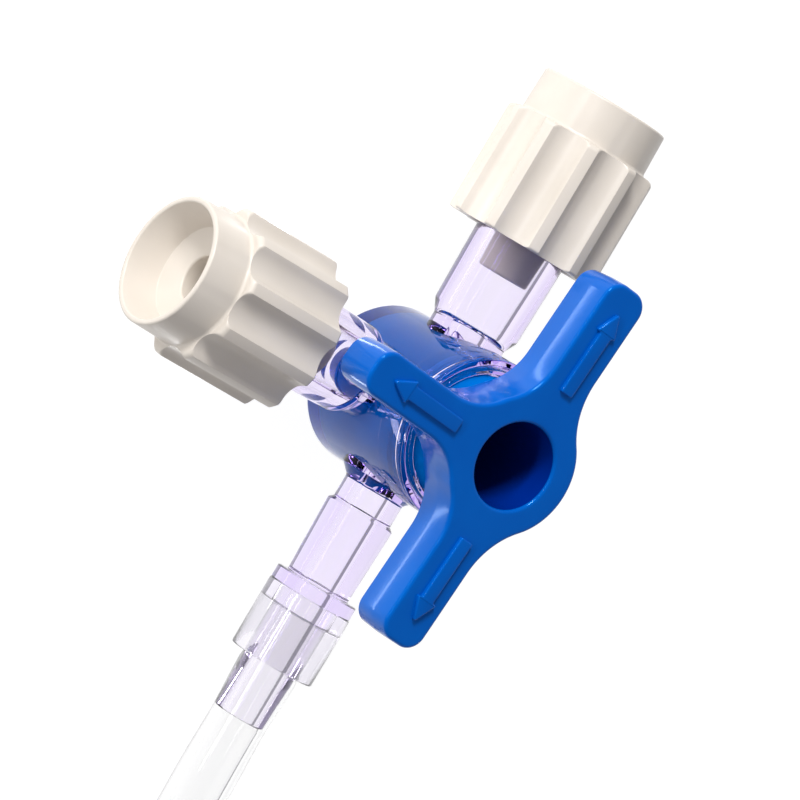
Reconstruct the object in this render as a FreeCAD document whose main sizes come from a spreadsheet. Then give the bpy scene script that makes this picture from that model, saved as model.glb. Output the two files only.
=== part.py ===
import FreeCAD, Part
import math
import os
import re
import Sketcher

# Three way stopcock with a short extension line. Millimetres. The barrel stands on its closed foot:
# +Z is the tap's axis, +X the outlet, -X the in-line luer port, -Y the side luer port.

Vector = FreeCAD.Vector

sizes = {
    # barrel of the body
    "barrel_radius": 5.75,
    "barrel_height": 12.85,
    "foot_thickness": 1.2,
    "foot_edge": 0.45,
    "bore_radius": 4.6,
    "port_height": 5.86,
    "lip_height": 3.05,
    "lip_width": 0.12,
    "lip_groove_inner": 5.12,
    "lip_groove_outer": 5.38,
    "lip_groove_depth": 0.55,
    "mouth_lead": 0.25,
    "snap_height": 10.9,
    "snap_depth": 0.22,
    "snap_half_width": 0.55,
    # luer ports, measured from the barrel's axis
    "inline_mouth": 15.3,
    "side_mouth": 15.1,
    "port_radius": 3.35,
    "port_root_radius": 3.2,
    "port_root": 7.1,
    "port_neck_radius": 2.75,
    "port_neck": 6.25,
    "luer_mouth_radius": 2.15,
    "luer_taper": 0.03,
    "luer_end": 6.75,
    "luer_end_round": 0.9,
    "flow_radius": 0.95,
    "lug_radius": 3.85,
    "lug_width": 1.0,
    "lug_angle": 62,
    # outlet and its tubing spigot
    "neck_radius": 2.2,
    "neck_end": 7.9,
    "shoulder_length": 0.55,
    "outlet_radius": 2.5,
    "outlet_end_radius": 2.34,
    "flange_start": 13.75,
    "flange_width": 1.0,
    "flange_radius": 3.05,
    "spigot_end": 24.1,
    "spigot_radius": 1.46,
    "outlet_boss_radius": 2.9,
    "outlet_boss_end": 6.25,
    # tap: three-armed handle and plug
    "tap_turn": -4.0,
    "tap_top": 17.9,
    "arm_thickness": 3.65,
    "hub_radius": 4.95,
    "arm_length": 14.05,
    "inline_arm_width": 3.65,
    "side_arm_width": 3.3,
    "arm_corner": 1.35,
    "front_web": 4.4,
    "back_web": 5.8,
    "top_edge": 0.5,
    "bottom_edge": 0.2,
    "arrow_start": 5.8,
    "arrow_neck": 10.5,
    "arrow_tip": 12.25,
    "arrow_shaft": 1.05,
    "arrow_head": 1.75,
    "arrow_rise": 0.3,
    "core_radius": 3.05,
    "core_depth": 9.0,
    "core_round": 1.0,
    "core_lead": 0.3,
    "running_gap": 0.05,
    "plug_edge": 0.3,
    # fluted luer caps, measured from the open end of the skirt
    "inline_cap_start": 12.9,
    "side_cap_start": 12.7,
    "inline_cap_phase": 8.7,
    "side_cap_phase": 14.0,
    "skirt_length": 8.2,
    "rib_radius": 5.6,
    "flute_count": 10,
    "flute_radius": 1.6,
    "flute_offset": 6.37,
    "rib_bevel": 0.3,
    "collar_radius": 4.72,
    "collar_length": 3.1,
    "collar_draft": 0.08,
    "rim_edge": 0.15,
    "mouth_radius": 4.25,
    "step_radius": 3.5,
    "step_depth": 2.4,
    "hole_radius": 1.65,
    "hole_depth": 2.9,
    "lock_radius": 4.0,
    "lock_depth": 7.0,
    "cone_reach": 2.4,
    "cone_hollow_radius": 1.15,
    "cone_wall_end": 1.1,
    "cone_edge": 0.15,
    "cone_gap": 0.03,
    # tubing and its sleeve
    "tube_radius": 2.1,
    "tube_bore_radius": 1.5,
    "sleeve_length": 5.15,
    "sleeve_radius": 3.1,
    "sleeve_wall_end": 1.05,
    "bond_gap": 0.03,
    "sleeve_edge": 0.25,
    # far end: male luer connector with its lock nut, measured from the tubing's entry
    "hub_length": 7.0,
    "hub_outer_radius": 3.0,
    "socket_depth": 6.0,
    "socket_clear": 0.1,
    "journal_radius": 2.7,
    "journal_length": 1.6,
    "bead_radius": 3.0,
    "bead_length": 0.6,
    "male_cone_length": 8.2,
    "male_tip_radius": 1.975,
    "line_bore_radius": 1.1,
    "nut_radius": 4.9,
    "nut_length": 8.0,
    "nut_wall": 1.4,
    "nut_end_gap": 0.1,
    "nut_flute_count": 12,
    "nut_flute_radius": 0.75,
    "nut_flute_offset": 5.4,
}

# Tubing route, chosen by hand: straight out of the sleeve, down to the table and round in an open bend.
route = [
    (16.05, 0.0, 5.86),
    (28.1, 0.0, 5.86),
    (40.0, 1.7, 4.45),
    (51.7, -2.0, 3.1),
    (60.7, -10.9, 2.3),
    (64.5, -22.7, 2.2),
    (62.5, -35.1, 2.3),
    (55.1, -45.0, 3.1),
    (44.1, -50.6, 4.93),
    (32.0, -51.4, 4.93),
]

document = FreeCAD.newDocument("ThreeWayStopcock")
sheet = document.addObject("Spreadsheet::Sheet", "Sizes")
for row, (alias, number) in enumerate(sizes.items(), start=1):
    sheet.set("A%d" % row, alias)
    sheet.set("B%d" % row, str(number))
    sheet.setAlias("B%d" % row, alias)
document.recompute()


def bound(expression):
    """The expression with each size's name pointing at its cell."""
    def cell(word):
        return "Sizes." + word[0] if word[0] in sizes else word[0]

    return re.sub(r"[a-z][a-z_]*", cell, expression)


def value(expression):
    """What an expression of sizes comes to now."""
    return float(sheet.evalExpression(bound(expression)))


def new_body(label):
    body = document.addObject("PartDesign::Body", label)
    body.Label = label
    return body


def new_sketch(body, name, plane, height=None):
    """A sketch on one of the body's own origin planes, raised along the sketch's upright axis on XZ and
    YZ, and along the normal on XY."""
    sketch = body.newObject("Sketcher::SketchObject", body.Name + "_" + name)
    support = next(item for item in body.Origin.OriginFeatures if item.Role == plane)
    sketch.AttachmentSupport = [(support, "")]
    sketch.MapMode = "FlatFace"
    if height:
        sketch.setExpression("AttachmentOffset.Base." + ("z" if plane == "XY_Plane" else "y"), bound(height))
    return sketch


def outline(body, name, plane, corners, height=None):
    """A closed outline whose corners are tied to the sizes."""
    sketch = new_sketch(body, name, plane, height)
    places = [Vector(value(across), value(up), 0) for across, up in corners]
    for here, after in zip(places, places[1:] + places[:1]):
        sketch.addGeometry(Part.LineSegment(here, after), False)
    for index, (across, up) in enumerate(corners):
        sketch.addConstraint(Sketcher.Constraint("Coincident", index, 2, (index + 1) % len(corners), 1))
        for kind, expression in (("DistanceX", across), ("DistanceY", up)):
            number = sketch.addConstraint(Sketcher.Constraint(kind, -1, 1, index, 1, value(expression)))
            sketch.setExpression("Constraints[%d]" % number, bound(expression))
    return sketch


def round_outline(body, name, plane, radius, centre="0", height=None):
    """A circle of a bound radius, with its centre on the sketch's upright axis."""
    sketch = new_sketch(body, name, plane, height)
    sketch.addGeometry(Part.Circle(Vector(0, value(centre), 0), Vector(0, 0, 1), value(radius)), False)
    sketch.addConstraint(Sketcher.Constraint("PointOnObject", 0, 3, -2))
    for kind, expression in (("DistanceY", centre), ("Radius", radius)):
        if kind == "Radius":
            constraint = Sketcher.Constraint(kind, 0, value(expression))
        else:
            constraint = Sketcher.Constraint(kind, -1, 1, 0, 3, value(expression))
        number = sketch.addConstraint(constraint)
        sketch.setExpression("Constraints[%d]" % number, bound(expression))
    return sketch


def turned(body, sketch, axis="V_Axis", cut=False, angle=None):
    """A profile turned about one of its sketch's axes, added to the body or cut from it."""
    before = body.Shape.Volume if cut else 0
    kind = "PartDesign::Groove" if cut else "PartDesign::Revolution"
    feature = body.newObject(kind, sketch.Name + ("_groove" if cut else "_turned"))
    feature.Profile = sketch
    feature.ReferenceAxis = (sketch, [axis])
    feature.Angle = 360
    if angle:
        feature.Midplane = True
        feature.setExpression("Angle", bound(angle))
    document.recompute()
    if cut and not body.Shape.Volume < before:
        raise ValueError(feature.Name + " cuts nothing")
    return feature


def padded(body, sketch, length):
    feature = body.newObject("PartDesign::Pad", sketch.Name + "_pad")
    feature.Profile = sketch
    feature.setExpression("Length", bound(length))
    document.recompute()
    return feature


def pocketed(body, sketch, length):
    """A pocket along the sketch's normal, from its plane upwards."""
    before = body.Shape.Volume
    feature = body.newObject("PartDesign::Pocket", sketch.Name + "_pocket")
    feature.Profile = sketch
    feature.setExpression("Length", bound(length))
    feature.Reversed = True
    document.recompute()
    if not body.Shape.Volume < before:
        raise ValueError(feature.Name + " cuts nothing")
    return feature


def repeated(body, feature, axis, count, angle="360"):
    """A feature repeated round an axis of the body's origin or of a sketch."""
    pattern = body.newObject("PartDesign::PolarPattern", feature.Name + "_pattern")
    pattern.Originals = [feature]
    pattern.Axis = axis
    pattern.setExpression("Angle", bound(angle))
    pattern.setExpression("Occurrences", bound(count))
    body.Tip = pattern
    document.recompute()
    return pattern


def origin_axis(body, role):
    return (next(item for item in body.Origin.OriginFeatures if item.Role == role), [""])


def filleted(body, name, radius, wanted):
    """A fillet on the edges for which wanted(edge) holds."""
    base = body.Tip
    names = ["Edge%d" % (n + 1) for n, edge in enumerate(base.Shape.Edges) if wanted(edge)]
    feature = body.newObject("PartDesign::Fillet", body.Name + "_" + name)
    feature.Base = (base, names)
    feature.setExpression("Radius", bound(radius))
    document.recompute()
    return feature


def middle(edge):
    return edge.valueAt((edge.FirstParameter + edge.LastParameter) / 2)


def from_axis(edge):
    place = middle(edge)
    return math.hypot(place.x, place.y)


def upright(edge):
    ends = [vertex.Point for vertex in edge.Vertexes]
    return len(ends) == 2 and (ends[0] - ends[1]).cross(Vector(0, 0, 1)).Length < 1e-6


def at_height(level):
    """Whether an edge lies at this height."""
    return lambda edge: all(abs(vertex.Z - level) < 1e-6 for vertex in edge.Vertexes)


def luer_port(body, name, plane, mouth):
    """A female luer port along the sketch's level axis: its outside, with a bevelled root, and two lugs at
    its mouth."""
    outside = outline(body, name, plane, [
        ("-" + mouth, "0"),
        ("-" + mouth, "port_radius"),
        ("-port_root", "port_root_radius"),
        ("-port_neck", "port_neck_radius"),
        ("-(bore_radius + 0.3)", "port_neck_radius"),
        ("-(bore_radius + 0.3)", "0"),
    ], "port_height")
    turned(body, outside, "H_Axis")
    lug = outline(body, name + "_lug", plane, [
        ("-" + mouth, "port_radius - 0.4"),
        ("-" + mouth, "lug_radius"),
        ("-(%s - lug_width)" % mouth, "lug_radius"),
        ("-(%s - lug_width * 1.5)" % mouth, "port_radius - 0.4"),
    ], "port_height")
    feature = turned(body, lug, "H_Axis", angle="lug_angle")
    repeated(body, feature, (lug, ["H_Axis"]), "2")


def luer_socket(body, name, plane, mouth):
    """The 6 % taper inside a port, its rounded inner end and the flow hole into the barrel."""
    taper_end = "(luer_end + luer_end_round)"
    cut = outline(body, name, plane, [
        ("-(%s + 1)" % mouth, "0"),
        ("-(%s + 1)" % mouth, "luer_mouth_radius + luer_taper"),
        ("-" + taper_end, "luer_mouth_radius - luer_taper * (%s - %s)" % (mouth, taper_end)),
        ("-luer_end", "flow_radius + 0.25"),
        ("-luer_end", "flow_radius"),
        ("-(bore_radius - 0.4)", "flow_radius"),
        ("-(bore_radius - 0.4)", "0"),
    ], "port_height")
    turned(body, cut, "H_Axis", cut=True)


def build_stopcock_body():
    body = new_body("stopcock_body")
    turned(body, outline(body, "barrel", "XZ_Plane", [
        ("0", "0"),
        ("barrel_radius - foot_edge", "0"),
        ("barrel_radius", "foot_edge"),
        ("barrel_radius", "barrel_height - lip_height"),
        ("barrel_radius + lip_width", "barrel_height - lip_height + lip_width"),
        ("barrel_radius + lip_width", "barrel_height - lip_width"),
        ("barrel_radius", "barrel_height"),
        ("0", "barrel_height"),
    ]))
    luer_port(body, "inline_port", "XZ_Plane", "inline_mouth")
    luer_port(body, "side_port", "YZ_Plane", "side_mouth")
    turned(body, outline(body, "outlet", "XZ_Plane", [
        ("bore_radius + 0.3", "0"),
        ("bore_radius + 0.3", "outlet_boss_radius"),
        ("barrel_radius - 0.2", "outlet_boss_radius"),
        ("outlet_boss_end", "neck_radius"),
        ("neck_end", "neck_radius"),
        ("neck_end + shoulder_length * 0.3", "outlet_radius - 0.08"),
        ("neck_end + shoulder_length", "outlet_radius"),
        ("flange_start", "outlet_end_radius"),
        ("flange_start", "flange_radius"),
        ("flange_start + flange_width", "flange_radius"),
        ("flange_start + flange_width", "spigot_radius"),
        ("spigot_end - 0.3", "spigot_radius"),
        ("spigot_end", "spigot_radius - 0.12"),
        ("spigot_end", "0"),
    ], "port_height"), "H_Axis")
    turned(body, outline(body, "bore", "XZ_Plane", [
        ("0", "foot_thickness"),
        ("bore_radius", "foot_thickness"),
        ("bore_radius", "snap_height - snap_half_width"),
        ("bore_radius - snap_depth", "snap_height - snap_half_width / 3"),
        ("bore_radius - snap_depth", "snap_height + snap_half_width / 3"),
        ("bore_radius", "snap_height + snap_half_width"),
        ("bore_radius", "barrel_height - mouth_lead"),
        ("bore_radius + mouth_lead", "barrel_height"),
        ("bore_radius + mouth_lead", "barrel_height + 1"),
        ("0", "barrel_height + 1"),
    ]), cut=True)
    turned(body, outline(body, "lip", "XZ_Plane", [
        ("lip_groove_inner", "barrel_height - lip_groove_depth"),
        ("lip_groove_outer", "barrel_height - lip_groove_depth"),
        ("lip_groove_outer", "barrel_height + 1"),
        ("lip_groove_inner", "barrel_height + 1"),
    ]), cut=True)
    luer_socket(body, "inline_socket", "XZ_Plane", "inline_mouth")
    luer_socket(body, "side_socket", "YZ_Plane", "side_mouth")
    turned(body, outline(body, "outlet_hole", "XZ_Plane", [
        ("bore_radius - 0.4", "0"),
        ("bore_radius - 0.4", "flow_radius"),
        ("spigot_end + 1", "flow_radius"),
        ("spigot_end + 1", "0"),
    ], "port_height"), "H_Axis", cut=True)
    return body


def build_tap():
    """Handle and plug in one: a hub with three arms, webbed into each other, over a hollow plug with a
    T-shaped flow channel."""
    body = new_body("tap")
    underside = "tap_top - arm_thickness"
    padded(body, round_outline(body, "hub", "XY_Plane", "hub_radius", height=underside), "arm_thickness")
    padded(body, outline(body, "inline_arms", "XY_Plane", [
        ("-arm_length", "-inline_arm_width / 2"),
        ("arm_length", "-inline_arm_width / 2"),
        ("arm_length", "inline_arm_width / 2"),
        ("-arm_length", "inline_arm_width / 2"),
    ], underside), "arm_thickness")
    padded(body, outline(body, "side_arm", "XY_Plane", [
        ("-side_arm_width / 2", "-arm_length"),
        ("side_arm_width / 2", "-arm_length"),
        ("side_arm_width / 2", "0"),
        ("-side_arm_width / 2", "0"),
    ], underside), "arm_thickness")
    reach = value("arm_length")
    filleted(body, "arm_ends", "arm_corner", lambda edge: upright(edge) and from_axis(edge) > reach)
    near = 2 * value("hub_radius")
    filleted(body, "front_webs", "front_web", lambda edge: upright(edge) and from_axis(edge) < near
             and middle(edge).y < 0)
    inner = value("hub_radius") + 1e-3
    filleted(body, "back_webs", "back_web", lambda edge: upright(edge) and from_axis(edge) < inner
             and middle(edge).y > 0)
    filleted(body, "top_edge", "top_edge", at_height(value("tap_top")))
    filleted(body, "bottom_edge", "bottom_edge", at_height(value(underside)))
    arrow = padded(body, outline(body, "arrow", "XY_Plane", [
        ("-arrow_start", "-arrow_shaft / 2"),
        ("-arrow_start", "arrow_shaft / 2"),
        ("-arrow_neck", "arrow_shaft / 2"),
        ("-arrow_neck", "arrow_head / 2"),
        ("-arrow_tip", "0"),
        ("-arrow_neck", "-arrow_head / 2"),
        ("-arrow_neck", "-arrow_shaft / 2"),
    ], "tap_top - 0.3"), "arrow_rise + 0.3")
    repeated(body, arrow, origin_axis(body, "Z_Axis"), "3", "180")
    plug = "(bore_radius - running_gap)"
    turned(body, outline(body, "plug", "XZ_Plane", [
        ("0", "foot_thickness + running_gap"),
        (plug + " - plug_edge", "foot_thickness + running_gap"),
        (plug, "foot_thickness + running_gap + plug_edge"),
        (plug, "snap_height - snap_half_width - running_gap"),
        (plug + " - snap_depth", "snap_height - snap_half_width / 3 - running_gap"),
        (plug + " - snap_depth", "snap_height + snap_half_width / 3 + running_gap"),
        (plug, "snap_height + snap_half_width + running_gap"),
        (plug, "tap_top - arm_thickness + bottom_edge"),
        ("0", "tap_top - arm_thickness + bottom_edge"),
    ]))
    turned(body, outline(body, "core", "XZ_Plane", [
        ("0", "tap_top - core_depth"),
        ("core_radius - core_round", "tap_top - core_depth"),
        ("core_radius - core_round * 0.3", "tap_top - core_depth + core_round * 0.3"),
        ("core_radius", "tap_top - core_depth + core_round"),
        ("core_radius", "tap_top - core_lead"),
        ("core_radius + core_lead", "tap_top"),
        ("core_radius + core_lead", "tap_top + 1"),
        ("0", "tap_top + 1"),
    ]), cut=True)
    turned(body, outline(body, "through_channel", "XZ_Plane", [
        ("-barrel_radius", "0"),
        ("-barrel_radius", "flow_radius"),
        ("barrel_radius", "flow_radius"),
        ("barrel_radius", "0"),
    ], "port_height"), "H_Axis", cut=True)
    turned(body, outline(body, "side_channel", "YZ_Plane", [
        ("-barrel_radius", "0"),
        ("-barrel_radius", "flow_radius"),
        ("0", "flow_radius"),
        ("0", "0"),
    ], "port_height"), "H_Axis", cut=True)
    body.Placement = FreeCAD.Placement(Vector(0, 0, 0), FreeCAD.Rotation(Vector(0, 0, 1), value("tap_turn")))
    return body


def build_luer_cap(label, start, mouth, away, phase):
    """A fluted cap in one moulding: skirt, hollow luer cone and a collar with a dished mouth. It is drawn
    along its own axis from the skirt's open end, then laid on its port."""
    body = new_body(label)
    cone_start = "(luer_mouth_radius - cone_gap - luer_taper * (cone_reach + %s - %s))" % (mouth, start)
    top = "skirt_length + collar_length"
    turned(body, outline(body, "section", "XZ_Plane", [
        ("0", "-cone_reach"),
        (cone_start + " - cone_edge", "-cone_reach"),
        (cone_start + " + luer_taper * cone_edge", "-cone_reach + cone_edge"),
        (cone_start + " + luer_taper * (cone_reach + lock_depth)", "lock_depth"),
        ("lock_radius", "lock_depth"),
        ("lock_radius", "rim_edge"),
        ("lock_radius + rim_edge", "0"),
        ("rib_radius - rim_edge", "0"),
        ("rib_radius", "rim_edge"),
        ("rib_radius", "skirt_length - rib_bevel"),
        ("rib_radius - rib_bevel", "skirt_length"),
        ("collar_radius", "skirt_length"),
        ("collar_radius - collar_draft", top + " - rim_edge"),
        ("collar_radius - collar_draft - rim_edge", top),
        ("mouth_radius", top),
        ("step_radius", top + " - step_depth"),
        ("hole_radius", top + " - hole_depth"),
        ("cone_hollow_radius", "-cone_reach + cone_wall_end"),
        ("0", "-cone_reach + cone_wall_end"),
    ]))
    circle = round_outline(body, "flute", "XY_Plane", "flute_radius", "flute_offset")
    flute = pocketed(body, circle, "skirt_length")
    repeated(body, flute, origin_axis(body, "Z_Axis"), "flute_count")
    # One flute lies on the local Y axis, so a rib stands half a pitch from it.
    turn = math.radians(90 + 180 / value("flute_count"))
    lean = math.radians(value(phase))
    side = away.cross(Vector(0, 0, 1))
    crest = Vector(0, 0, 1) * math.cos(lean) + side * math.sin(lean)
    across = away.cross(crest)
    local_x = crest * math.cos(turn) - across * math.sin(turn)
    rotation = FreeCAD.Rotation(local_x, away.cross(local_x), away, "ZXY")
    place = away * value(start) + Vector(0, 0, value("port_height"))
    body.Placement = FreeCAD.Placement(place, rotation)
    return body


def build_tube_sleeve():
    body = new_body("tube_sleeve")
    begin = "flange_start + flange_width"
    turned(body, outline(body, "section", "XZ_Plane", [
        (begin, "spigot_radius + bond_gap"),
        (begin, "sleeve_radius"),
        (begin + " + sleeve_length - sleeve_edge", "sleeve_radius"),
        (begin + " + sleeve_length", "sleeve_radius - sleeve_edge"),
        (begin + " + sleeve_length", "tube_radius + bond_gap"),
        (begin + " + sleeve_wall_end + 0.2", "tube_radius + bond_gap"),
        (begin + " + sleeve_wall_end", "tube_radius - 0.2"),
        (begin + " + sleeve_wall_end", "spigot_radius + bond_gap"),
    ], "port_height"), "H_Axis")
    return body


def tube_path():
    """Straight runs joined by tangent arcs, each as large as its two runs allow."""
    points = [Vector(*point) for point in route]
    edges = []
    radii = []
    start = points[0]
    for before, corner, after in zip(points, points[1:], points[2:]):
        incoming = (corner - before).normalize()
        outgoing = (after - corner).normalize()
        reach = 0.45 * min((corner - before).Length, (after - corner).Length)
        half_turn = incoming.getAngle(outgoing) / 2
        radius = reach / math.tan(half_turn)
        first = corner - incoming * reach
        last = corner + outgoing * reach
        inward = (outgoing - incoming).normalize()
        halfway = corner + inward * (radius / math.cos(half_turn) - radius)
        edges += [Part.LineSegment(start, first).toShape(), Part.Arc(first, halfway, last).toShape()]
        radii.append(radius)
        start = last
    edges.append(Part.LineSegment(start, points[-1]).toShape())
    print("tube bend radii, mm:", [round(radius, 1) for radius in radii])
    return Part.Wire(edges)


def build_extension_tube():
    path = tube_path()
    begin = Vector(*route[0])

    def swept(radius):
        ring = Part.Wire([Part.makeCircle(radius, begin, Vector(1, 0, 0))])
        return path.makePipeShell([ring], True, False)

    wall = swept(value("tube_radius")).cut(swept(value("tube_bore_radius")))
    section = math.pi * (value("tube_radius") ** 2 - value("tube_bore_radius") ** 2)
    print("tube length, mm: %.1f, volume over section times length: %.4f"
          % (path.Length, wall.Volume / (section * path.Length)))
    if abs(wall.Volume / (section * path.Length) - 1) > 0.01:
        raise ValueError("the tube's volume is not its section times its length")
    tube = document.addObject("Part::Feature", "extension_tube")
    tube.Label = "extension_tube"
    tube.Shape = wall
    return tube


def far_end_placement():
    """The connector lies in line with the last run, with the tubing's end in its socket."""
    last = Vector(*route[-1])
    along = (last - Vector(*route[-2])).normalize()
    upward = Vector(0, 0, 1)
    rotation = FreeCAD.Rotation(along.cross(upward), upward, along, "ZXY")
    return FreeCAD.Placement(last - along * (value("socket_depth") - value("socket_clear")), rotation)


def build_line_connector():
    body = new_body("line_connector")
    cone_start = "(hub_length + journal_length + bead_length)"
    tip = cone_start + " + male_cone_length"
    turned(body, outline(body, "section", "XZ_Plane", [
        ("tube_radius + bond_gap", "0"),
        ("hub_outer_radius - 0.25", "0"),
        ("hub_outer_radius", "0.25"),
        ("hub_outer_radius", "hub_length"),
        ("journal_radius", "hub_length"),
        ("journal_radius", "hub_length + journal_length"),
        ("bead_radius", "hub_length + journal_length"),
        ("male_tip_radius + luer_taper * male_cone_length", cone_start),
        ("male_tip_radius", tip + " - 0.15"),
        ("male_tip_radius - 0.15", tip),
        ("line_bore_radius", tip),
        ("line_bore_radius", "socket_depth"),
        ("tube_radius + bond_gap", "socket_depth"),
    ]))
    body.Placement = far_end_placement()
    return body


def build_lock_nut():
    body = new_body("lock_nut")
    begin = "(hub_length + nut_end_gap)"
    turned(body, outline(body, "section", "XZ_Plane", [
        ("journal_radius + running_gap", begin),
        ("nut_radius - 0.5", begin),
        ("nut_radius", begin + " + 0.5"),
        ("nut_radius", begin + " + nut_length"),
        ("lock_radius", begin + " + nut_length"),
        ("lock_radius", begin + " + nut_wall"),
        ("journal_radius + running_gap", begin + " + nut_wall"),
    ]))
    flute = pocketed(
        body,
        round_outline(body, "flute", "XY_Plane", "nut_flute_radius", "nut_flute_offset", begin + " - 0.5"),
        "nut_length + 1",
    )
    repeated(body, flute, origin_axis(body, "Z_Axis"), "nut_flute_count")
    body.Placement = far_end_placement()
    return body


parts = [
    build_stopcock_body(),
    build_tap(),
    build_luer_cap("inline_cap", "inline_cap_start", "inline_mouth", Vector(-1, 0, 0), "inline_cap_phase"),
    build_luer_cap("side_cap", "side_cap_start", "side_mouth", Vector(0, -1, 0), "side_cap_phase"),
    build_tube_sleeve(),
    build_extension_tube(),
    build_line_connector(),
    build_lock_nut(),
]
document.recompute()

for item in document.Objects:
    if "Invalid" in item.State or "Error" in item.State:
        raise ValueError(item.Label + " failed: " + str(item.State))
for part in parts:
    if part.Shape.isNull() or not part.Shape.isValid() or len(part.Shape.Solids) != 1:
        raise ValueError(part.Label + " is not one valid solid")
    print("%-16s volume %8.2f mm3" % (part.Label, part.Shape.Volume))

os.makedirs("parts", exist_ok=True)
for part in parts:
    part.Shape.exportStep("parts/%s.step" % part.Label)
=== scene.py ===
import bpy
import bmesh
import math
import numpy as np
from mathutils import Matrix, Vector


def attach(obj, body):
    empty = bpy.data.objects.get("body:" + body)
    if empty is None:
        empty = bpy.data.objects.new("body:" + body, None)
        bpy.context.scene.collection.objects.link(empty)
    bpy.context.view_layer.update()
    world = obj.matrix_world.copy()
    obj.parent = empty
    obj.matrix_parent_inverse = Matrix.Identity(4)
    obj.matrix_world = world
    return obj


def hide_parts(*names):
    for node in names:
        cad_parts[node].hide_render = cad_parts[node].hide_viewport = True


# A three way stopcock with a short extension line, lying on a white table.
# Metres, in the CAD model's frame: Z is the tap's axis, X the outlet, -X the in-line port, -Y the side port.
# Sizes in the dictionaries are millimetres and degrees, unless a note there says otherwise. An entry whose
# name ends in Edge is the radius of a rounded corner, and around is a count of points round an axis.

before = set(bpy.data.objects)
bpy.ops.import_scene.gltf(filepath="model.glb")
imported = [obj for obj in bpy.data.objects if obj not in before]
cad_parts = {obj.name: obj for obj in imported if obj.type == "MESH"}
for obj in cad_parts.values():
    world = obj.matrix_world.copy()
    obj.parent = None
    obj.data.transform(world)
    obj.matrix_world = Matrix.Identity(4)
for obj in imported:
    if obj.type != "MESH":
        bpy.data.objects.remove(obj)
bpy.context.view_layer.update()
mm = 0.001
scene = bpy.context.scene


# Camera

cameraView = {
    "pivot": (0.0, 0.0, 6.0),
    "elevation": 53.68,
    "azimuth": 0.46,
    "roll": -121.18,
    "distance": 400.0,
    "side": 0.15,
    "rise": -1.72,
    "lens": 266.8,
    "sensor": 36,
    "nearest": 10.0,
    "farthest": 10000.0,
}


def placeCamera(view):
    # The camera looks along -toward from a point beside the pivot, and is rolled about that line.
    elevation, azimuth, roll = (math.radians(view[k]) for k in ("elevation", "azimuth", "roll"))
    level = math.cos(elevation)
    toward = Vector((-math.sin(azimuth) * level, -math.cos(azimuth) * level, math.sin(elevation)))
    sideways = Vector((0, 0, 1)).cross(toward).normalized()
    upward = toward.cross(sideways)
    right = sideways * math.cos(roll) - upward * math.sin(roll)
    top = sideways * math.sin(roll) + upward * math.cos(roll)
    place = Vector(view["pivot"]) + toward * view["distance"]
    place = place + sideways * view["side"] + upward * view["rise"]
    data = bpy.data.cameras.new("camera")
    data.lens = view["lens"]
    data.sensor_width = view["sensor"]
    data.clip_start = view["nearest"] * mm
    data.clip_end = view["farthest"] * mm
    camera = bpy.data.objects.new("camera", data)
    scene.collection.objects.link(camera)
    turn = Matrix((right, top, toward)).transposed().to_4x4()
    camera.matrix_world = Matrix.Translation(place * mm) @ turn
    scene.camera = camera


placeCamera(cameraView)
scene.view_settings.view_transform = "Standard"
print("camera placed")


# Surfaces from grids of points

weldReach = 2e-7  # metres: points of a grid that lie nearer than this are made one
sliverReach = 5e-8  # metres: the same for the points that a boolean leaves


def gridQuads(rows, columns, closeRows=False, closeColumns=False):
    # Each point of the grid joined in quads to its neighbours; a closed direction also joins its last line to
    # its first.
    i = np.arange(rows if closeRows else rows - 1)[:, None]
    j = np.arange(columns if closeColumns else columns - 1)[None, :]
    nextI, nextJ = (i + 1) % rows, (j + 1) % columns
    corners = [i * columns + j, i * columns + nextJ, nextI * columns + nextJ, nextI * columns + j]
    return np.stack(corners, axis=-1).reshape(-1, 4)


def gridMesh(name, points, closeRows=False, closeColumns=False):
    # The points[i, j] joined in quads. Points that coincide, as at a pole, are made one.
    rows, columns = points.shape[:2]
    quads = gridQuads(rows, columns, closeRows, closeColumns)
    mesh = bpy.data.meshes.new(name)
    mesh.vertices.add(rows * columns)
    mesh.vertices.foreach_set("co", points.reshape(-1).astype(np.float32))
    mesh.loops.add(quads.size)
    mesh.loops.foreach_set("vertex_index", quads.reshape(-1).astype(np.int32))
    mesh.polygons.add(len(quads))
    mesh.polygons.foreach_set("loop_start", np.arange(0, quads.size, 4, dtype=np.int32))
    mesh.update(calc_edges=True)
    welded(mesh, weldReach)
    softened(mesh)
    return mesh


def welded(mesh, reach):
    # Points nearer to each other than the reach are made one.
    working = bmesh.new()
    working.from_mesh(mesh)
    bmesh.ops.remove_doubles(working, verts=working.verts, dist=reach)
    working.to_mesh(mesh)
    working.free()


def softened(mesh, sharp=40):
    # Smooth shading, but for edges that turn more than the given degrees.
    mesh.polygons.foreach_set("use_smooth", np.full(len(mesh.polygons), True))
    mesh.set_sharp_from_angle(angle=math.radians(sharp))


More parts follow.
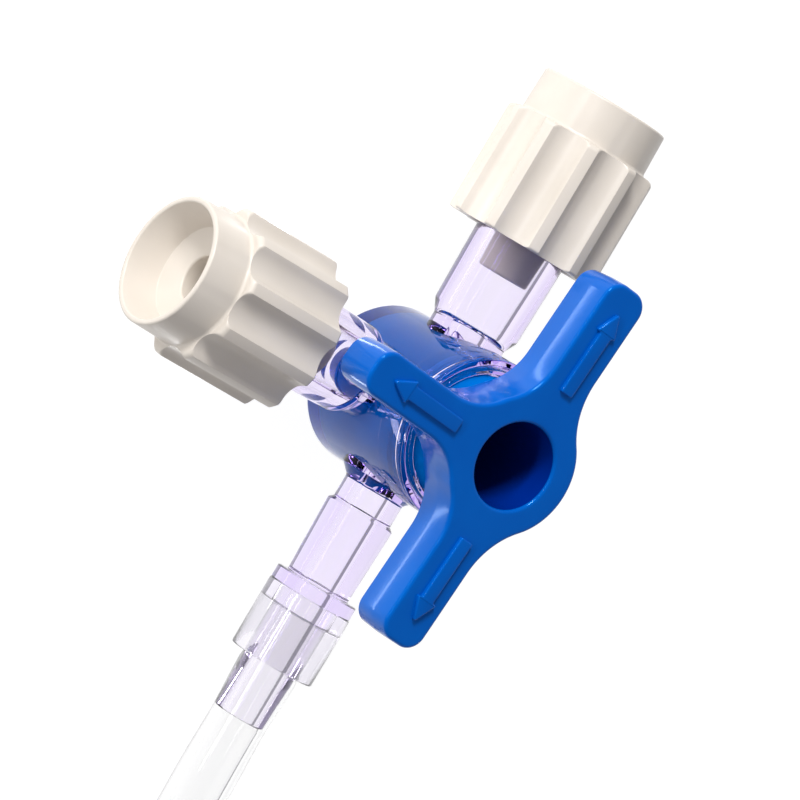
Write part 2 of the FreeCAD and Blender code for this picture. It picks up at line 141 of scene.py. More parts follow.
def roundedLine(corners, closed=False, steps=7, share=0.49):
    # Corners (across, up, radius) joined by straight runs, each corner replaced by an arc that touches both
    # runs and takes at most the given share of either. The arc starts radius * tan(half turn) before the
    # corner; its point at angle a lies radius * sin a along the incoming run and radius * (1 - cos a) across.
    places = np.array([corner[:2] for corner in corners], float)
    line = []
    for k, radius in enumerate(corner[2] for corner in corners):
        if radius == 0 or (not closed and k in (0, len(corners) - 1)):
            line.append(places[k][None])
            continue
        before = places[k] - places[k - 1]
        after = places[(k + 1) % len(corners)] - places[k]
        room = share * min(np.linalg.norm(before), np.linalg.norm(after))
        before, after = before / np.linalg.norm(before), after / np.linalg.norm(after)
        turn = math.atan2(before[0] * after[1] - before[1] * after[0], before @ after)
        reach = min(radius * math.tan(abs(turn) / 2), room)
        radius = reach / math.tan(abs(turn) / 2)
        inward = np.array([-before[1], before[0]]) * np.sign(turn)
        angle = np.linspace(0, abs(turn), steps)[:, None]
        arc = before * np.sin(angle) + inward * (1 - np.cos(angle))
        line.append(places[k] - before * reach + radius * arc)
    return np.concatenate(line)


def onAxis(radius, along, angle, origin, away, crest):
    # Polar places about an axis: origin + away * along + (crest * cos angle + across * sin angle) * radius,
    # with across = away x crest.
    origin, away, crest = (np.array(v, float) for v in (origin, away, crest))
    across = np.cross(away, crest)
    outward = crest * np.cos(angle)[..., None] + across * np.sin(angle)[..., None]
    return (origin + away * along[..., None] + outward * radius[..., None]) * mm


def fullTurn(profile, around):
    # A profile's radius and its distance along the axis, repeated over a full turn, and the turn's angles.
    angle = np.linspace(0, 2 * np.pi, around, endpoint=False)[None, :]
    radius = np.repeat(profile[:, 0, None], around, axis=1)
    along = np.repeat(profile[:, 1, None], around, axis=1)
    return radius, along, angle


def turnedPoints(profile, around, origin, away, crest):
    # A profile (radius, along) turned about the axis.
    return onAxis(*fullTurn(profile, around), origin, away, crest)


def smoothLower(a, b, blend):
    # The lower of a and b, rounded over where they are within blend of each other.
    share = np.clip(0.5 + 0.5 * (b - a) / blend, 0, 1)
    return b * (1 - share) + a * share - blend * share * (1 - share)


def fluteFloor(angle, count, radius, offset):
    # Distance from the axis to the near side of round grooves, whose centres stand at the offset half-way
    # between the ribs: offset * cos a - sqrt(radius^2 - offset^2 * sin^2 a), and far out between them.
    pitch = 2 * np.pi / count
    a = np.mod(angle, pitch) - pitch / 2
    inside = radius ** 2 - (offset * np.sin(a)) ** 2
    return np.where(inside > 0, offset * np.cos(a) - np.sqrt(np.maximum(inside, 0)), offset)


def newPiece(name, mesh, body, node, material):
    # The finished piece rides its body and stands in the place of its CAD node.
    piece = bpy.data.objects.new(name, mesh)
    scene.collection.objects.link(piece)
    mesh.materials.clear()
    mesh.materials.append(material)
    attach(piece, body)
    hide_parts(node)
    return piece


# Materials

# Noise scales are in lumps per metre, the ripple's height in metres, and the gloss range in shares of the
# roughness. An opaque plastic drifts from its shade to its colour; a clear one takes on its tint with depth.
mouldedSkin = {
    "driftScale": 315.0,
    "driftDetail": 2.0,
    "driftRange": (0.3, 0.7),
    "glossScale": 900.0,
    "glossDetail": 4.0,
    "glossRange": (0.8, 1.25),
    "rippleScale": 540.0,
    "rippleDetail": 2.0,
    "rippleStrength": 0.04,
    "rippleHeight": 0.0001,
}
clearSkin = {
    "rippleScale": 700.0,
    "rippleDetail": 2.0,
    "rippleStrength": 0.03,
    "rippleHeight": 0.0001,
}
opaqueFinishes = {
    "handleBlue": {
        "color": (0.0, 0.10, 0.47),
        "shade": (0.0, 0.09, 0.44),
        "roughness": 0.15,
        "sockets": {
            "Specular IOR Level": 0.4,
            "Specular Tint": (0.05, 0.42, 1.0, 1),
            "Coat Weight": 0.06,
            "Coat Roughness": 0.05,
        },
    },
    "plugBlue": {
        "color": (0.0, 0.13, 0.50),
        "shade": (0.0, 0.11, 0.45),
        "roughness": 0.3,
        "sockets": {"Specular IOR Level": 0.0},
    },
    # The hollow core's blue: the handle's plastic made darker, painted shade in the deep hole.
    "corePaintedShade": {
        "color": (0.0, 0.022, 0.25),
        "shade": (0.0, 0.019, 0.22),
        "roughness": 0.3,
        "sockets": {"Specular IOR Level": 0.3, "Specular Tint": (0.1, 0.3, 1.0, 1)},
    },
    "capIvory": {
        "color": (0.64, 0.585, 0.52),
        "shade": (0.61, 0.555, 0.49),
        "roughness": 0.36,
        "sockets": {},
    },
    "nutWhite": {
        "color": (0.80, 0.80, 0.78),
        "shade": (0.76, 0.76, 0.74),
        "roughness": 0.35,
        "sockets": {},
    },
}
clearFinishes = {
    "violetClear": {
        "color": (0.99, 0.985, 1.0),
        "roughness": 0.015,
        "ior": 1.45,
        "tint": (0.60, 0.38, 0.95),
        "density": 110,
        "sockets": {"Specular Tint": (0.15, 0.12, 0.4, 1)},
    },
    "sleeveClear": {
        "color": (0.99, 0.985, 1.0),
        "roughness": 0.03,
        "ior": 1.52,
        "tint": (0.66, 0.48, 0.95),
        "density": 40,
        "sockets": {},
    },
    "tubingClear": {
        "color": (0.99, 0.99, 0.99),
        "roughness": 0.05,
        "ior": 1.42,
        "tint": (0.80, 0.80, 0.82),
        "density": 60,
        "sockets": {},
    },
    "connectorClear": {
        "color": (0.99, 0.985, 1.0),
        "roughness": 0.03,
        "ior": 1.5,
        "tint": (0.75, 0.68, 0.93),
        "density": 60,
        "sockets": {},
    },
}


def newMaterial(name, sockets):
    # A Principled material with the given sockets, and its node tree for what is added to it.
    material = bpy.data.materials.new(name)
    material.use_nodes = True
    shader = material.node_tree.nodes["Principled BSDF"]
    for socket, amount in sockets.items():
        shader.inputs[socket].default_value = amount
    return material, material.node_tree, shader


def addNoise(tree, scale, detail):
    # Noise on Object coordinates.
    coordinates = tree.nodes.new("ShaderNodeTexCoord")
    noise = tree.nodes.new("ShaderNodeTexNoise")
    noise.inputs["Scale"].default_value = scale
    noise.inputs["Detail"].default_value = detail
    tree.links.new(coordinates.outputs["Object"], noise.inputs["Vector"])
    return noise.outputs["Fac"]


def addDrift(tree, shader, finish, skin):
    # The base colour goes from the shade to the colour as the noise crosses the drift's range.
    ramp = tree.nodes.new("ShaderNodeValToRGB")
    ends = zip(ramp.color_ramp.elements, skin["driftRange"], (finish["shade"], finish["color"]))
    for element, position, color in ends:
        element.position = position
        element.color = (*color, 1)
    tree.links.new(addNoise(tree, skin["driftScale"], skin["driftDetail"]), ramp.inputs["Fac"])
    tree.links.new(ramp.outputs["Color"], shader.inputs["Base Color"])


def addGloss(tree, shader, finish, skin):
    # The roughness goes with noise between two shares of its own value.
    gloss = tree.nodes.new("ShaderNodeMapRange")
    least, most = skin["glossRange"]
    gloss.inputs["To Min"].default_value = finish["roughness"] * least
    gloss.inputs["To Max"].default_value = finish["roughness"] * most
    tree.links.new(addNoise(tree, skin["glossScale"], skin["glossDetail"]), gloss.inputs["Value"])
    tree.links.new(gloss.outputs["Result"], shader.inputs["Roughness"])


def addRipple(tree, shader, skin):
    # Noise as the height of a faint bump.
    bump = tree.nodes.new("ShaderNodeBump")
    bump.inputs["Strength"].default_value = skin["rippleStrength"]
    bump.inputs["Distance"].default_value = skin["rippleHeight"]
    tree.links.new(addNoise(tree, skin["rippleScale"], skin["rippleDetail"]), bump.inputs["Height"])
    tree.links.new(bump.outputs["Normal"], shader.inputs["Normal"])


def mouldedPlastic(name, finish):
    # Opaque moulded plastic: slight colour drift, uneven gloss and a faint ripple of the skin.
    material, tree, shader = newMaterial(name, {"Roughness": finish["roughness"], **finish["sockets"]})
    addDrift(tree, shader, finish, mouldedSkin)
    addGloss(tree, shader, finish, mouldedSkin)
    addRipple(tree, shader, mouldedSkin)
    return material


def clearPlastic(name, finish):
    # Transparent plastic: clear skin with a faint ripple, and a tint that deepens with the path through it.
    material, tree, shader = newMaterial(name, {
        "Base Color": (*finish["color"], 1),
        "Roughness": finish["roughness"],
        "IOR": finish["ior"],
        "Transmission Weight": 1.0,
        **finish["sockets"],
    })
    addRipple(tree, shader, clearSkin)
    absorption = tree.nodes.new("ShaderNodeVolumeAbsorption")
    absorption.inputs["Color"].default_value = (*finish["tint"], 1)
    absorption.inputs["Density"].default_value = finish["density"]
    tree.links.new(absorption.outputs["Volume"], tree.nodes["Material Output"].inputs["Volume"])
    return material


plastics = {name: mouldedPlastic(name, finish) for name, finish in opaqueFinishes.items()}
plastics.update({name: clearPlastic(name, finish) for name, finish in clearFinishes.items()})
print("materials mixed")


# Extension tubing

# Ends, runs and leads are distances along the tubing; swell and waist are changes of its outer radius.
lineRoute = {
    "points": [
        (16.05, 0.0, 5.86), (28.1, 0.0, 5.86), (40.0, 1.7, 4.45), (51.7, -2.0, 3.1), (60.7, -10.9, 2.3),
        (64.5, -22.7, 2.2), (62.5, -35.1, 2.3), (55.1, -45.0, 3.1), (44.1, -50.6, 4.93), (32.0, -51.4, 4.93),
    ],
    "length": 0.1097,
    "radius": 2.1,
    "boreRadius": 1.5,
    "spigotRadius": 1.45,
    "spigotEnd": 8.05,
    "spigotGap": 0.1,
    "sleeveEnd": 3.9,
    "swell": 0.07,
    "swellRun": 0.5,
    "waist": -0.08,
    "waistLead": 0.5,
    "waistLeadShare": 0.6,
    "waistRun": 0.6,
    "waistEnd": 4.0,
    "fineEnd": 16.0,
    "fineRings": 80,
    "coarseRings": 200,
    "around": 64,
}


def splineLine(points, steps=24):
    # The line of a NURBS spline guided by the route's points, as a mesh of that curve without bevel gives it.
    curve = bpy.data.curves.new("lineRoute", "CURVE")
    curve.dimensions = "3D"
    curve.resolution_u = steps
    spline = curve.splines.new("NURBS")
    spline.points.add(len(points) - 1)
    for point, place in zip(spline.points, points):
        point.co = (*[c * mm for c in place], 1)
    spline.order_u = 3
    spline.use_endpoint_u = True
    guide = bpy.data.objects.new("lineRoute", curve)
    mesh = bpy.data.meshes.new_from_object(guide)
    line = np.empty(len(mesh.vertices) * 3)
    mesh.vertices.foreach_get("co", line)
    bpy.data.objects.remove(guide)
    return line.reshape(-1, 3)


def alongLine(line, where, radius, around):
    # A ring of points round the line at each distance: the line's own point plus radius times
    # (sideways * cos + upward * sin), where sideways is level and square to the line.
    travelled = np.concatenate([[0], np.cumsum(np.linalg.norm(np.diff(line, axis=0), axis=1))])
    centre = np.stack([np.interp(where, travelled, line[:, axis]) for axis in range(3)], axis=1)
    slope = np.gradient(line, travelled, axis=0)
    tangent = np.stack([np.interp(where, travelled, slope[:, axis]) for axis in range(3)], axis=1)
    tangent /= np.linalg.norm(tangent, axis=1, keepdims=True)
    sideways = np.cross((0, 0, 1.0), tangent)
    sideways /= np.linalg.norm(sideways, axis=1, keepdims=True)
    upward = np.cross(tangent, sideways)
    angle = np.linspace(0, 2 * np.pi, around, endpoint=False)[None, :, None]
    circle = sideways[:, None] * np.cos(angle) + upward[:, None] * np.sin(angle)
    return centre[:, None] + circle * radius[:, None, None]


def makeTubing(route):
    # Outside radius: the tubing's own plus a stretch, which swells it where it leaves the sleeve and draws it
    # in past the spigot's end. The bore has the spigot's radius to a small gap past its end, then its own.
    line = splineLine(route["points"])
    length = np.linalg.norm(np.diff(line, axis=0), axis=1).sum()
    fineEnd = route["fineEnd"] * mm
    where = np.concatenate([np.linspace(0, fineEnd, route["fineRings"]),
                            np.linspace(fineEnd, length, route["coarseRings"])[1:]])
    s = where / mm
    sleeveEnd, spigotEnd = route["sleeveEnd"], route["spigotEnd"]
    stretch = [
        (sleeveEnd, 0),
        (sleeveEnd + route["swellRun"], route["swell"]),
        (spigotEnd - route["waistLead"], route["waist"] * route["waistLeadShare"]),
        (spigotEnd + route["waistRun"], route["waist"]),
        (spigotEnd + route["waistEnd"], 0),
    ]
    outer = (route["radius"] + np.interp(s, *zip(*stretch))) * mm
    bore = np.where(s < spigotEnd + route["spigotGap"], route["spigotRadius"], route["boreRadius"]) * mm
    rings = np.concatenate([where, where[::-1]])
    radius = np.concatenate([outer, bore[::-1]])
    mesh = gridMesh("extensionTube", alongLine(line, rings, radius, route["around"]), True, True)
    piece = newPiece("extensionTube", mesh, "stopcock", "extension_tube",
                     plastics["tubingClear"])
    return piece, line


tubing, tubingLine = makeTubing(lineRoute)
print("tubing made")


# Far end: male luer connector and its lock nut

# A point of the nut's section is on the inner wall within wallBand of it, and outside beyond outsideFrom.
lineEnd = {
    "hub": 3.0,
    "hubLength": 7.0,
    "socket": 2.13,
    "socketDepth": 6.0,
    "overlap": 5.9,
    "journal": 2.7,
    "journalLength": 1.6,
    "bead": 3.0,
    "beadLength": 0.6,
    "coneLength": 8.2,
    "coneRoot": 2.221,
    "coneTip": 1.975,
    "bore": 1.1,
    "entryEdge": 0.25,
    "stepEdge": 0.15,
    "holeEdge": 0.1,
    "innerEdge": 0.05,
    "tipEdge": 0.18,
    "around": 168,
}
lockNut = {
    "start": 7.1,
    "length": 8.0,
    "radius": 4.9,
    "hole": 2.75,
    "wall": 1.4,
    "inside": 4.0,
    "wallBand": 0.01,
    "outsideFrom": 4.15,
    "ridge": 0.42,
    "ridgeCut": 0.4,
    "threadPitch": 2.5,
    "threadStarts": 2,
    "threadStart": 0.4,
    "threadEnd": 0.3,
    "threadFade": 0.6,
    "threadRows": 60,
    "rowStep": 0.1,
    "fluteCount": 12,
    "fluteRadius": 0.75,
    "fluteOffset": 5.4,
    "fluteEdge": 0.15,
    "backEdge": 0.5,
    "mouthEdge": 0.2,
    "floorEdge": 0.15,
    "holeEdge": 0.05,
    "around": 360,
}


def lineEndFrame(route, overlap):
    # The connector's entry lies the overlap before the line's last point, along the last run.
    last, before = (np.array(route["points"][k]) for k in (-1, -2))
    away = (last - before) / np.linalg.norm(last - before)
    return last - away * overlap, away, (0, 0, 1)


def makeConnector(end):
    # The connector's section turned about the line: hub with the tubing's socket, journal for the nut, bead
    # and cone.
    bead = end["hubLength"] + end["journalLength"]
    cone = bead + end["beadLength"]
    tip = cone + end["coneLength"]
    profile = roundedLine([
        (end["socket"], 0, end["holeEdge"]),
        (end["hub"], 0, end["entryEdge"]),
        (end["hub"], end["hubLength"], end["stepEdge"]),
        (end["journal"], end["hubLength"], end["innerEdge"]),
        (end["journal"], bead, end["innerEdge"]),
        (end["bead"], bead, end["stepEdge"]),
        (end["coneRoot"], cone, end["holeEdge"]),
        (end["coneTip"], tip, end["tipEdge"]),
        (end["bore"], tip, end["holeEdge"]),
        (end["bore"], end["socketDepth"], end["innerEdge"]),
        (end["socket"], end["socketDepth"], end["innerEdge"]),
    ], closed=True)
    origin, away, crest = lineEndFrame(lineRoute, end["overlap"])
    mesh = gridMesh("lineConnector", turnedPoints(profile, end["around"], origin, away, crest), True, True)
    return newPiece("lineConnector", mesh, "stopcock", "line_connector",
                    plastics["connectorClear"])


def threadHeight(nut, along, angle):
    # Height of the thread's ridges over the nut's inner wall: ridge * clip(2 cos(2 pi along / pitch -
    # starts * angle) - cut, 0, 1), faded out at both ends of the recess.
    wave = 2 * np.cos(2 * np.pi * along / nut["threadPitch"] - nut["threadStarts"] * angle)
    fromWall = (along - nut["wall"] - nut["threadStart"]) / nut["threadFade"]
    fromMouth = (nut["length"] - nut["threadEnd"] - along) / nut["threadFade"]
    ridge = np.clip(wave - nut["ridgeCut"], 0, 1) * nut["ridge"]
    return ridge * np.clip(fromWall, 0, 1) * np.clip(fromMouth, 0, 1)


def makeLockNut(nut):
    # The nut's section turned about the line. Outside, the lower of the section and the grooves' floor; on
    # the inner wall, the section's radius less the thread's height.
    top = nut["length"] - nut["threadEnd"]
    profile = roundedLine([
        (nut["hole"], 0, nut["holeEdge"]),
        (nut["radius"], 0, nut["backEdge"]),
        (nut["radius"], nut["length"], nut["mouthEdge"]),
        (nut["inside"], nut["length"], nut["mouthEdge"]),
        *[(nut["inside"], top - nut["rowStep"] * k, 0) for k in range(nut["threadRows"])],
        (nut["inside"], nut["wall"], nut["floorEdge"]),
        (nut["hole"], nut["wall"], nut["holeEdge"]),
    ], closed=True)
    radius, along, angle = fullTurn(profile, nut["around"])
    floor = fluteFloor(angle, nut["fluteCount"], nut["fluteRadius"], nut["fluteOffset"])
    onWall = np.abs(radius - nut["inside"]) < nut["wallBand"]
    outside = radius > nut["outsideFrom"]
    radius = np.where(outside, smoothLower(radius, floor, nut["fluteEdge"]), radius)
    radius = np.where(onWall, radius - threadHeight(nut, along, angle), radius)
    points = onAxis(radius, along + nut["start"], angle, *lineEndFrame(lineRoute, lineEnd["overlap"]))
    mesh = gridMesh("lockNut", points, True, True)
    return newPiece("lockNut", mesh, "lock_nut", "lock_nut", plastics["nutWhite"])


connector = makeConnector(lineEnd)
nut = makeLockNut(lockNut)
print("line's end made")


# Fluted luer caps

portHeight = 5.86  # the axes of ports and outlet, over the foot's underside
luerCap = {
    "reach": 2.4,
    "coneTip": 1.83,
    "coneRoot": 2.25,
    "coneHollow": 1.15,
    "coneWall": 1.1,
    "coneEdge": 0.2,
    "lockDepth": 7.0,
    "lockRadius": 4.0,
    "lockEdge": 0.35,
    "skirt": 8.2,
    "skirtEdge": 0.2,
    "rib": 5.6,
    "ribCount": 10,
    "ribEdge": 0.22,
    "ribEnd": 0.5,
    "grooveRadius": 1.6,
    "grooveOffset": 6.37,
    "outsideFrom": 4.3,
    "collar": 4.72,
    "collarTop": 4.64,
    "collarFoot": 0.25,
    "collarEdge": 0.18,
    "top": 11.3,
    "mouth": 4.25,
    "mouthEdge": 0.16,
    "step": 3.5,
    "stepDepth": 2.4,
    "stepEdge": 0.1,
    "hole": 1.65,
    "holeDepth": 2.9,
    "holeEdge": 0.18,
    "around": 360,
}
# Each cap's start is its skirt's distance from the tap's axis; the lean turns its ribs about its own axis.
capPlaces = [
    {"name": "inlineCap", "node": "inline_cap", "start": 12.9, "away": (-1, 0, 0), "lean": 8.7},
    {"name": "sideCap", "node": "side_cap", "start": 12.7, "away": (0, -1, 0), "lean": 14.0},
]


def capProfile(cap):
    # The cap's section from its cone's tip, through the lock's recess, up the outside and down the mouth.
    lock = [
        (0, -cap["reach"], 0),
        (cap["coneTip"], -cap["reach"], cap["coneEdge"]),
        (cap["coneRoot"], cap["lockDepth"], cap["lockEdge"]),
        (cap["lockRadius"], cap["lockDepth"], cap["lockEdge"]),
        (cap["lockRadius"], 0, cap["skirtEdge"]),
    ]
    outside = [
        (cap["rib"], 0, cap["ribEdge"]),
        (cap["rib"], cap["skirt"], cap["ribEnd"]),
        (cap["collar"], cap["skirt"], cap["collarFoot"]),
        (cap["collarTop"], cap["top"], cap["collarEdge"]),
    ]
    mouth = [
        (cap["mouth"], cap["top"], cap["mouthEdge"]),
        (cap["step"], cap["top"] - cap["stepDepth"], cap["stepEdge"]),
        (cap["hole"], cap["top"] - cap["holeDepth"], cap["holeEdge"]),
        (cap["coneHollow"], cap["coneWall"] - cap["reach"], cap["coneEdge"]),
        (0, cap["coneWall"] - cap["reach"], 0),
    ]
    return roundedLine(lock + outside + mouth, steps=8)


def makeCap(cap, name, node, start, away, lean):
    # The cap's section turned about its port's axis; on the outside the radius is the lower of the section's
    # and the grooves' floor, so the grooves run out at the collar.
    radius, along, angle = fullTurn(capProfile(cap), cap["around"])
    floor = fluteFloor(angle, cap["ribCount"], cap["grooveRadius"], cap["grooveOffset"])
    outside = radius > cap["outsideFrom"]
    radius = np.where(outside, smoothLower(radius, floor, cap["ribEdge"]), radius)
    away, level = Vector(away), Vector(away).cross(Vector((0, 0, 1)))
    crest = Vector((0, 0, 1)) * math.cos(math.radians(lean)) + level * math.sin(math.radians(lean))
    origin = away * start + Vector((0, 0, portHeight))
    mesh = gridMesh(name, onAxis(radius, along, angle, origin, away, crest), closeColumns=True)
    return newPiece(name, mesh, node, node, plastics["capIvory"])


for place in capPlaces:
    makeCap(luerCap, **place)
print("caps made")


# Tap: three-armed handle and plug

tapShape = {
    "turn": -4.0,
    "top": 17.9,
    "thick": 3.65,
    "hub": 4.95,
    "arm": 14.05,
    "inlineWidth": 3.65,
    "sideWidth": 3.3,
    "corner": 1.35,
    "frontWeb": 4.4,
    "backWeb": 5.8,
    "topEdge": 0.5,
    "bottomEdge": 0.18,
    "bottomDraft": 0.08,
    "bottomRun": 0.02,
    "topDraft": 0.03,
    "topRun": 0.1,
    "wallSwell": 6.0,
    "core": 3.05,
    "coreFloor": 8.9,
    "coreRound": 1.1,
    "lip": 0.4,
    "plug": 4.615,
    "plugFoot": 1.18,
    "plugEdge": 0.1,
    "snapHeight": 10.9,
    "snapDepth": 0.22,
    "snapHalf": 0.6,
    "channel": 0.95,
    "channelReach": 6,
    "sideChannelShare": 0.999,
    "arrow": [(5.8, 0.525), (10.5, 0.525), (10.5, 0.875), (12.25, 0.0)],
    "arrowRise": 0.3,
    "arrowSink": 0.3,
    "arrowCorner": 0.14,
    "arrowEdge": 0.12,
    "arrowBearings": (180, 270, 0),
    "plugBelow": 0.3,
    "plugBeyond": 0.5,
    "coreMargin": 0.01,
    "sharp": 35,
    "around": 640,
}


def arcAbout(centre, radius, start, end, steps=24):
    # centre + radius * (cos a, sin a) from start to end in degrees, with the outward direction: away from the
    # centre where the arc runs anticlockwise, towards it where it runs clockwise.
    angle = np.radians(np.linspace(start, end, steps))
    spoke = np.stack([np.cos(angle), np.sin(angle)], axis=1)
    return np.hstack([np.array(centre) + radius * spoke, spoke * (1 if end > start else -1)])


def handleOutline(tap):
    # Half of the outline from the side arm's end to the back, as touching arcs, then its mirror image, spread
    # evenly. A web arc touches an arm's side and the hub: its centre is hub + web from the axis.
    hub, arm, corner = tap["hub"], tap["arm"], tap["corner"]
    inline, side = tap["inlineWidth"] / 2, tap["sideWidth"] / 2
    front, back = tap["frontWeb"], tap["backWeb"]
    reachFront, reachBack = hub + front, hub + back
    sideWeb = (side + front, -math.sqrt(reachFront ** 2 - (side + front) ** 2))
    inlineWeb = (math.sqrt(reachFront ** 2 - (inline + front) ** 2), -inline - front)
    backWeb = (math.sqrt(reachBack ** 2 - (inline + back) ** 2), inline + back)
    bearing = [math.degrees(math.atan2(web[1], web[0])) for web in (sideWeb, inlineWeb, backWeb)]
    half = np.vstack([
        arcAbout((side - corner, corner - arm), corner, -90, 0),
        arcAbout(sideWeb, front, 180, bearing[0] + 180),
        arcAbout((0, 0), hub, bearing[0], bearing[1], 8),
        arcAbout(inlineWeb, front, bearing[1] + 180, 90),
        arcAbout((arm - corner, corner - inline), corner, -90, 0),
        arcAbout((arm - corner, inline - corner), corner, 0, 90),
        arcAbout(backWeb, back, -90, bearing[2] - 180),
        arcAbout((0, 0), hub, bearing[2], 90),
    ])
    mirrored = half[::-1] * (-1, 1, -1, 1)
    loop = np.vstack([half, mirrored, half[:1]])
    travelled = np.concatenate([[0], np.cumsum(np.linalg.norm(np.diff(loop[:, :2], axis=0), axis=1))])
    evenly = np.linspace(0, travelled[-1], tap["around"], endpoint=False)
    loop = np.stack([np.interp(evenly, travelled, loop[:, k]) for k in range(4)], axis=1)
    place, outward = loop[:, :2], loop[:, 2:]
    return place, outward / np.linalg.norm(outward, axis=1, keepdims=True)


def tapPoints(tap):
    # Rings from the plug's foot up and out over the handle and down into the hollow core. A round ring takes
    # its angles from the outline; a handle ring is the outline drawn in by an inset; between the handle's top
    # edge and the core's lip they are blended.
    place, outward = handleOutline(tap)
    bearing = np.arctan2(place[:, 1], place[:, 0])
    spoke = np.stack([np.cos(bearing), np.sin(bearing)], axis=1)
    top, under = tap["top"], tap["top"] - tap["thick"]
    snap, half, depth = tap["snapHeight"], tap["snapHalf"], tap["snapDepth"]

    def roundRings(profile):
        # Each (radius, height) of the profile as a ring: spoke * radius.
        radius, height = profile[:, 0, None, None], np.repeat(profile[:, 1, None, None], len(place), axis=1)
        return np.concatenate([radius * spoke[None], height], axis=2)

    def handleRings(profile):
        # Each (inset, height) of the profile as a ring: place - outward * inset.
        inset, height = profile[:, 0, None, None], np.repeat(profile[:, 1, None, None], len(place), axis=1)
        return np.concatenate([place[None] - inset * outward[None], height], axis=2)

    plug = roundRings(roundedLine([
        (0, tap["plugFoot"], 0),
        (tap["plug"], tap["plugFoot"], tap["plugEdge"]),
        (tap["plug"], snap - half, tap["plugEdge"]),
        (tap["plug"] - depth, snap - half / 3, tap["plugEdge"]),
        (tap["plug"] - depth, snap + half / 3, tap["plugEdge"]),
        (tap["plug"], snap + half, tap["plugEdge"]),
        (tap["plug"], under, 0),
    ], steps=6))
    handle = handleRings(roundedLine([
        (tap["bottomDraft"] + tap["bottomEdge"] + tap["bottomRun"], under, 0),
        (tap["bottomDraft"], under, tap["bottomEdge"]),
        (0, under + tap["thick"] * 0.5, tap["wallSwell"]),
        (tap["topDraft"], top, tap["topEdge"]),
        (tap["topEdge"] + tap["topRun"], top, 0),
    ], steps=9))
    core = roundRings(roundedLine([
        (tap["core"] + tap["lip"] + tap["topRun"], top, 0),
        (tap["core"], top, tap["lip"]),
        (tap["core"], tap["coreFloor"], tap["coreRound"]),
        (0, tap["coreFloor"], 0),
    ], steps=9))
    share = np.array([0.1, 0.35, 0.65, 0.9])[:, None, None]
    blended = handle[-1][None] * (1 - share) + core[0][None] * share
    points = np.concatenate([plug, handle, blended, core])
    c, s = math.cos(math.radians(tap["turn"])), math.sin(math.radians(tap["turn"]))
    x, y, height = points[..., 0], points[..., 1], points[..., 2]
    return np.stack([x * c - y * s, x * s + y * c, height], axis=-1) * mm


def plateMesh(name, corners, low, high, edge, steps=5):
    # An upright plate with rounded corners and a rounded top edge: its outline drawn in by edge * (1 - cos a)
    # at edge * sin a above the start of the rounding.
    line = roundedLine(corners, closed=True, steps=steps)
    ahead = np.roll(line, -1, axis=0) - np.roll(line, 1, axis=0)
    outward = np.stack([ahead[:, 1], -ahead[:, 0]], axis=1)
    outward /= np.linalg.norm(ahead, axis=1, keepdims=True)
    angle = np.linspace(0, np.pi / 2, steps)
    inset = np.concatenate([[0], edge * (1 - np.cos(angle))])
    height = np.concatenate([[low], high - edge + edge * np.sin(angle)])
    flat = line[None] - inset[:, None, None] * outward[None]
    rows, columns = flat.shape[:2]
    level = np.broadcast_to(height[:, None, None], (rows, columns, 1))
    points = np.concatenate([flat, level], axis=2) * mm
    faces = gridQuads(rows, columns, closeColumns=True).tolist()
    faces.append(list(range((rows - 1) * columns, rows * columns)))
    faces.append(list(range(columns))[::-1])
    mesh = bpy.data.meshes.new(name)
    mesh.from_pydata(points.reshape(-1, 3).tolist(), [], faces)
    return mesh


def combined(mesh, others, operation):
    # The mesh joined with or cut by each of the others in turn, less the slivers that this leaves.
    base = bpy.data.objects.new("working", mesh)
    scene.collection.objects.link(base)
    helpers = []
    for other in others:
        helper = bpy.data.objects.new("helper", other)
        scene.collection.objects.link(helper)
        helpers.append(helper)
        step = base.modifiers.new("step", "BOOLEAN")
        step.operation = operation
        step.solver = "EXACT"
        step.object = helper
    bpy.context.view_layer.update()
    result = bpy.data.meshes.new_from_object(base.evaluated_get(bpy.context.evaluated_depsgraph_get()))
    for thing in [base, *helpers]:
        bpy.data.objects.remove(thing)
    welded(result, sliverReach)
    return result


def rodMesh(name, radius, start, end, around=48):
    # A closed round rod between two places.
    away = np.subtract(end, start)
    length = np.linalg.norm(away)
    profile = np.array([(0, 0), (radius, 0), (radius, length), (0, length)], float)
    return gridMesh(name, turnedPoints(profile, around, start, away / length, (0, 0, 1)), closeColumns=True)


def arrowPlates(tap):
    # One plate for each arm: the arrow's half outline and its mirror image, turned to the arm's bearing.
    half = tap["arrow"]
    plan = half + [(x, -y) for x, y in half[-2::-1]]
    plates = []
    for quarter in tap["arrowBearings"]:
        bearing = math.radians(quarter + tap["turn"])
        c, s = math.cos(bearing), math.sin(bearing)
        corners = [(x * c - y * s, x * s + y * c, tap["arrowCorner"]) for x, y in plan[::-1]]
        low, high = tap["top"] - tap["arrowSink"], tap["top"] + tap["arrowRise"]
        plates.append(plateMesh("arrow", corners, low, high, tap["arrowEdge"]))
    return plates


def flowChannels(tap):
    # A T of round holes at the ports' height. The side hole is a hair thinner, so that no two walls coincide.
    bearing = math.radians(tap["turn"])
    along = np.array((math.cos(bearing), math.sin(bearing), 0)) * tap["channelReach"]
    side = np.array((math.sin(bearing), -math.cos(bearing), 0)) * tap["channelReach"]
    middle = np.array((0, 0, portHeight))
    return [rodMesh("channel", tap["channel"], middle - along, middle + along),
            rodMesh("channel", tap["channel"] * tap["sideChannelShare"], middle, middle + side)]


